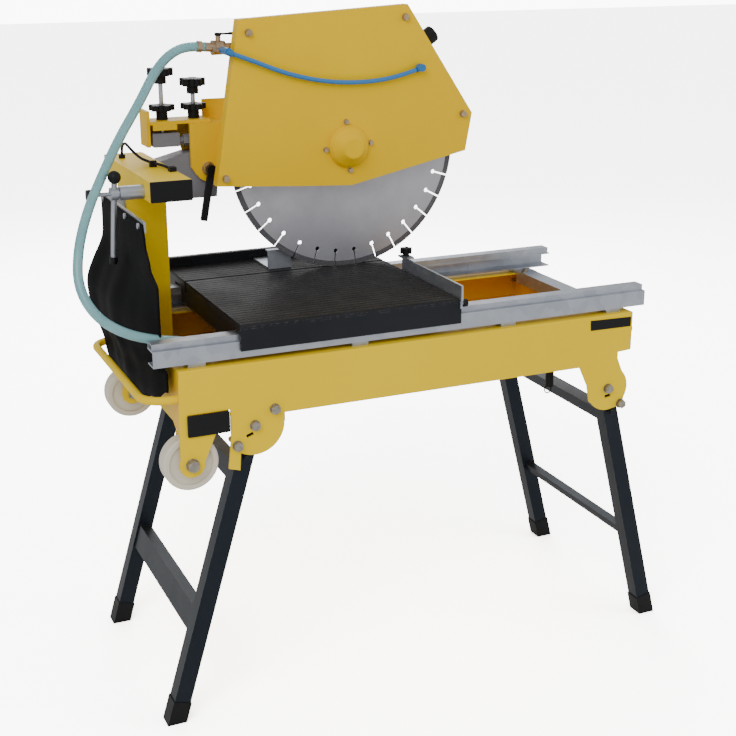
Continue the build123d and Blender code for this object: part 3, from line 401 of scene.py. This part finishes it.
def plastic_material(name, colour, worn, rough=0.42, grain_depth=0.0002, dust=0.06, gloss=0.4):
    """Moulded plastic with a fine spark grain, paler where it is rubbed."""
    material, tree, shader = blank_material(name)
    patches = use_group(tree, PATCHES, Scale=22.0, Low=0.35, High=0.8)
    grain = use_group(tree, GRAIN, Scale=1500.0, Depth=grain_depth, Strength=0.4)
    wear = use_group(tree, EDGE_WEAR, Width=0.0012, Breakup=260.0, Amount=0.35)
    settled = use_group(tree, DUST, Amount=dust, Scale=60.0)
    drift = mixed(tree, wear.outputs["Mask"], colour, worn)
    dusty = mixed(tree, settled.outputs["Mask"], drift.outputs["Result"], (0.16, 0.155, 0.14))
    shine = ranged(tree, patches.outputs["Mask"], to=(rough, rough + 0.18))
    tree.links.new(dusty.outputs["Result"], shader.inputs["Base Color"])
    tree.links.new(shine.outputs["Result"], shader.inputs["Roughness"])
    tree.links.new(grain.outputs["Normal"], shader.inputs["Normal"])
    shader.inputs["Specular IOR Level"].default_value = gloss
    return material


black_plastic = plastic_material("black plastic", (0.006, 0.006, 0.007), (0.035, 0.035, 0.038), gloss=0.22)
coat("label_plate", black_plastic)
coat("tube_end_caps", black_plastic, 0.0008)
coat("pump drain_plug", black_plastic, 0.0008)

# ---------------------------------------------------------------- rails
# Two rolled C rails and a folded strip, bright zinc plate with faint blue-grey crystals.


def zinc_material(name, colour, dull, rough=0.27, grain_scale=55.0):
    """Zinc plate: broad cloudy crystals, fine rolling lines, darker handling marks."""
    material, tree, shader = blank_material(name)
    place = node(tree, "ShaderNodeTexCoord")
    cells = node(tree, "ShaderNodeTexVoronoi", {"Vector": place.outputs["Object"], "Scale": grain_scale})
    patches = use_group(tree, PATCHES, Scale=12.0, Low=0.3, High=0.75)
    wear = use_group(tree, EDGE_WEAR, Width=0.001, Breakup=200.0, Amount=0.3)
    stretch = node(tree, "ShaderNodeMapping", {"Vector": place.outputs["Object"], "Scale": (2.0, 60.0, 60.0)})
    lines = node(tree, "ShaderNodeTexNoise", {"Vector": stretch.outputs[0], "Scale": 8.0, "Detail": 3.0})
    grey = node(tree, "ShaderNodeSeparateColor", {"Color": cells.outputs["Color"]})
    tone = mixed(tree, grey.outputs[0], colour, dull)
    marked = mixed(tree, wear.outputs["Mask"], tone.outputs["Result"], (0.30, 0.30, 0.31))
    shine = ranged(tree, patches.outputs["Mask"], to=(rough, rough + 0.2))
    bump = node(tree, "ShaderNodeBump", {"Height": lines.outputs["Fac"], "Strength": 0.12,
                                         "Distance": 0.0002})
    tree.links.new(marked.outputs["Result"], shader.inputs["Base Color"])
    tree.links.new(shine.outputs["Result"], shader.inputs["Roughness"])
    tree.links.new(bump.outputs["Normal"], shader.inputs["Normal"])
    shader.inputs["Metallic"].default_value = 0.9
    return material


zinc = zinc_material("rail zinc", (0.50, 0.53, 0.58), (0.42, 0.45, 0.51), rough=0.32)
coat("rail_front rail_rear cross_strip", zinc, 0.0006)

# ---------------------------------------------------------------- fixings
# Plated hexagon bolts, washers and nuts on the brackets, wheels, guard and pivot.
bright_steel = zinc_material("bolt zinc", (0.66, 0.66, 0.68), (0.52, 0.52, 0.55), rough=0.25,
                             grain_scale=220.0)
dull_steel = zinc_material("dull bolt zinc", (0.44, 0.40, 0.33), (0.28, 0.26, 0.22), rough=0.3,
                           grain_scale=240.0)
coat("frame_bolts", dull_steel, 0.0006)
yellow_zinc = zinc_material("bolt yellow zinc", (0.62, 0.47, 0.26), (0.42, 0.32, 0.20), rough=0.3,
                            grain_scale=300.0)
coat("head_bolts", yellow_zinc, 0.0006)

# ---------------------------------------------------------------- splash curtain
# Black sheet rubber, about 3 mm thick, screwed to a zinc strip under the beam. It hangs
# outside the tank's end, bellies out over the edge and tucks in behind the carry handle.


def rubber_material(name, colour, chalk, rough=0.55, ribs=0.0):
    """Sheet rubber: matt black with chalky rubbed marks and a fine cloth-pressed grain."""
    material, tree, shader = blank_material(name)
    patches = use_group(tree, PATCHES, Scale=9.0, Low=0.42, High=0.85)
    grain = use_group(tree, GRAIN, Scale=700.0, Depth=0.0003, Strength=0.35)
    settled = use_group(tree, DUST, Amount=0.25, Scale=28.0)
    tone = mixed(tree, patches.outputs["Mask"], colour, chalk)
    dusty = mixed(tree, settled.outputs["Mask"], tone.outputs["Result"], (0.09, 0.09, 0.085))
    shine = ranged(tree, patches.outputs["Mask"], to=(rough, rough + 0.2))
    tree.links.new(dusty.outputs["Result"], shader.inputs["Base Color"])
    tree.links.new(shine.outputs["Result"], shader.inputs["Roughness"])
    tree.links.new(grain.outputs["Normal"], shader.inputs["Normal"])
    shader.inputs["Specular IOR Level"].default_value = 0.09
    return material


def between(stops, at):
    """Smoothly follows a list of (place, value) stops, in falling order of place."""
    for (high, first), (low, second) in zip(stops, stops[1:]):
        if at >= low:
            share = (high - at) / (high - low)
            share = share * share * (3 - 2 * share)
            return first + (second - first) * share
    return stops[-1][1]


def hanging_sheet(name, columns=72, rows=64):
    """The curtain: straight under the strip, then bellying out, with shallow upright folds."""
    hang = [(0.868, -0.4580), (0.800, -0.4580), (0.702, -0.4855), (0.655, -0.4835), (0.600, -0.4725),
            (0.530, -0.4615)]
    front = [(0.868, -0.157), (0.835, -0.166), (0.800, -0.190), (0.775, -0.232), (0.652, -0.234),
             (0.640, -0.262), (0.580, -0.262)]
    rear = [(0.868, 0.134), (0.810, 0.130), (0.750, 0.146), (0.700, 0.149), (0.660, 0.140), (0.630, 0.092),
            (0.530, 0.070)]
    hem = [(1.0, 0.539), (0.78, 0.545), (0.45, 0.556), (0.15, 0.585), (0.0, 0.609)]
    mesh = bmesh.new()
    grid = []
    for i in range(rows + 1):
        line = []
        for k in range(columns + 1):
            u = k / columns
            z = 0.866 + (between(hem, u) - 0.866) * i / rows
            y = between(front, z) * (1 - u) + between(rear, z) * u
            loose = min(1.0, max(0.0, (0.85 - z) / 0.12))
            fold = math.sin(u * 13 + 0.8 * math.sin(z * 11)) + 0.5 * math.sin(u * 29 + z * 7)
            belly = between(hang, z) - 0.0022 * loose * (1.2 + fold)
            x = belly + (-0.4575 - belly) * (1 - u) ** 3
            line.append(mesh.verts.new((x, y, z)))
        grid.append(line)
    for upper, lower in zip(grid, grid[1:]):
        for k in range(columns):
            mesh.faces.new((upper[k], upper[k + 1], lower[k + 1], lower[k]))
    data = bpy.data.meshes.new(name)
    mesh.to_mesh(data)
    mesh.free()
    for face in data.polygons:
        face.use_smooth = True
    piece = bpy.data.objects.new(name, data)
    bpy.context.scene.collection.objects.link(piece)
    thick = piece.modifiers.new("thickness", "SOLIDIFY")
    thick.thickness = 0.0028
    thick.offset = 0
    return piece


curtain_rubber = rubber_material("curtain rubber", (0.0022, 0.0024, 0.0028), (0.006, 0.0062, 0.0066),
                                 rough=0.7)
splash_curtain = hanging_sheet("splash_curtain_sheet")
splash_curtain.data.materials.append(curtain_rubber)
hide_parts("curtain")
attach(splash_curtain, "frame")
coat("curtain_strip", zinc, 0.0006)

# ---------------------------------------------------------------- beam clamp
# Zinc boss and hanging bar with a black ball, on the beam's left face.
coat("clamp_boss clamp_bar", zinc, 0.0008)


def tip(name, material, spots):
    """Gives the faces round each spot (centre, reach) of one CAD node a second material."""
    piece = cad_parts[name]
    piece.data.materials.append(material)
    for face in piece.data.polygons:
        if any((face.center - Vector(spot)).length < reach for spot, reach in spots):
            face.material_index = 1


tip("clamp_bar", black_plastic, (((-0.482, -0.0813, 0.9338), 0.0125), ((-0.482, -0.0385, 0.785), 0.0115),
                                 ((-0.525, -0.073, 0.905), 0.0125)))
coat("beam_cable", black_plastic)

# ---------------------------------------------------------------- legs
# Square tube legs and crossbars, satin blue-black powder coat, with black rubber feet.
leg_paint = paint_material("leg black", (0.006, 0.008, 0.011), (0.011, 0.013, 0.017), rough=0.30, chips=0.35,
                           dust=0.05, under=(0.20, 0.19, 0.18))
coat("left_leg_frame right_leg_frame", leg_paint, 0.0025, 3)
coat("left_feet right_feet", black_plastic, 0.002, 3)

# ---------------------------------------------------------------- wheels
# Off-white cast nylon wheels with a recessed web, on plated axle bolts.
nylon = plastic_material("wheel nylon", (0.74, 0.69, 0.56), (0.55, 0.50, 0.40), rough=0.38, dust=0.3)
coat("wheel_front wheel_rear", nylon, 0.001)

# ---------------------------------------------------------------- rolling table
# Folded steel deck and back fence with satin black paint, two ribbed rubber mats.
table_paint = paint_material("table black", (0.007, 0.0075, 0.009), (0.013, 0.014, 0.016), rough=0.42,
                             chips=0.6, dust=0.06, under=(0.22, 0.22, 0.22))
coat("table_frame back_fence", table_paint, 0.0008)
mat_rubber = rubber_material("mat rubber", (0.020, 0.020, 0.022), (0.032, 0.032, 0.035), rough=0.5)
coat("table_mats", mat_rubber, 0.0005)
coat("rollers_left rollers_right", bright_steel, 0.0008)
coat("mitre_fence stop_block", zinc, 0.0005)
coat("fence_knob", black_plastic, 0.001)
# A small black clamp knob, about 14 mm across, that holds the fence bar at the table's front edge.
FRONT_KNOB_ENDS = (0.0725, 0.0800)
FRONT_KNOB_RADIUS = 0.0068
front_knob_line = [Vector((x, -0.277, 0.704)) for x in FRONT_KNOB_ENDS]
front_knob = tube("fence_front_knob", front_knob_line, FRONT_KNOB_RADIUS)
front_knob.data.materials.append(black_plastic)
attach(front_knob, "table")

# ---------------------------------------------------------------- blade guard
# Pressed steel guard in two halves, deeper yellow than the frame, with the front cover's
# edge folded back, a spun hub cap and black pistol grip.
guard_yellow = paint_material("guard yellow", (0.86, 0.53, 0.001), (0.89, 0.58, 0.003), rough=0.38, dust=0.08)
coat("guard_cover", guard_yellow, 0.003, 4)
coat("guard_shell", guard_yellow, 0.0008)
coat("hub_cap", guard_yellow, 0.001)
coat("arm_frame", guard_yellow, 0.0008)
coat("head_grip", black_plastic, 0.001)
grey_paint = paint_material("bracket grey", (0.20, 0.20, 0.23), (0.27, 0.27, 0.29), rough=0.35)
coat("hinge_lug arm_block", grey_paint, 0.001)
coat("cam_lever", black_plastic, 0.001)

# ---------------------------------------------------------------- motor
# Flanged electric motor behind the guard, grey painted, with a black fan cover.
motor_grey = paint_material("motor grey", (0.10, 0.105, 0.12), (0.13, 0.135, 0.15), rough=0.4)
coat("motor_body", motor_grey, 0.0008)
coat("motor_fan_cover", black_plastic)

# ---------------------------------------------------------------- blade
# Ground steel core with keyhole slots and sintered diamond segments on its rim.


def blade_material():
    """Ground steel: rings of fine scratches about the spindle, dull water stains."""
    material, tree, shader = blank_material("blade steel")
    place = node(tree, "ShaderNodeTexCoord")
    centred = node(tree, "ShaderNodeVectorMath", {0: place.outputs["Object"], 1: (-0.0175, 0.039, 0.936)},
                   operation="SUBTRACT")
    radius = node(tree, "ShaderNodeVectorMath", {0: centred.outputs[0]}, operation="LENGTH")
    rings = node(tree, "ShaderNodeTexNoise", {"W": radius.outputs["Value"], "Scale": 900.0, "Detail": 3.0},
                 noise_dimensions="1D")
    patches = use_group(tree, PATCHES, Scale=16.0, Low=0.3, High=0.8)
    tone = mixed(tree, patches.outputs["Mask"], (0.56, 0.56, 0.60), (0.46, 0.46, 0.50))
    bump = node(tree, "ShaderNodeBump", {"Height": rings.outputs["Fac"], "Strength": 0.2, "Distance": 0.0002})
    shine = ranged(tree, patches.outputs["Mask"], to=(0.28, 0.5))
    tree.links.new(tone.outputs["Result"], shader.inputs["Base Color"])
    tree.links.new(bump.outputs["Normal"], shader.inputs["Normal"])
    tree.links.new(shine.outputs["Result"], shader.inputs["Roughness"])
    shader.inputs["Metallic"].default_value = 0.7
    return material


coat("blade_disc", blade_material())
segment_metal = zinc_material("diamond segment", (0.20, 0.20, 0.22), (0.12, 0.12, 0.13), rough=0.55,
                              grain_scale=900.0)
coat("blade_segments", segment_metal)
coat("blade_spindle", bright_steel, 0.0008)

# ---------------------------------------------------------------- water fittings
# Plated ball valve on the guard's left edge with a clamp, a black lever, and a blue
# push-in tube across the cover to an elbow above the blade.
brass = zinc_material("plated brass", (0.60, 0.44, 0.28), (0.46, 0.32, 0.20), rough=0.25, grain_scale=300.0)
coat("water_valve", brass, 0.0005)
coat("valve_lever", black_plastic, 0.0008)
blue_plastic = plastic_material("fitting blue", (0.03, 0.17, 0.42), (0.10, 0.28, 0.50), rough=0.28,
                                grain_depth=0.0001)
coat("hose_fittings", blue_plastic, 0.0006)
BLUE_POINTS = [
    (-0.2445, -0.006, 1.120), (-0.2085, -0.006, 1.107), (-0.1435, -0.006, 1.081), (-0.0685, -0.006, 1.064),
    (0.0065, -0.006, 1.060), (0.0715, -0.006, 1.067), (0.1115, -0.006, 1.079),
]
blue_tube = tube("blue_water_tube", smooth_line(BLUE_POINTS), 0.004)
blue_skin = plastic_material("tube blue", (0.035, 0.20, 0.50), (0.12, 0.32, 0.58), rough=0.22,
                             grain_depth=0.00005)
blue_tube.data.materials.append(blue_skin)
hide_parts("blue_hose")
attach(blue_tube, "head")

# ---------------------------------------------------------------- stop screws
# Two threaded rods through the arm's tail, each with a star knob on top and a lock knob.
coat("stop_screw_left stop_screw_right", bright_steel)
coat("stop_knob_left stop_knob_right lock_knob_left lock_knob_right", black_plastic, 0.0016, 3)
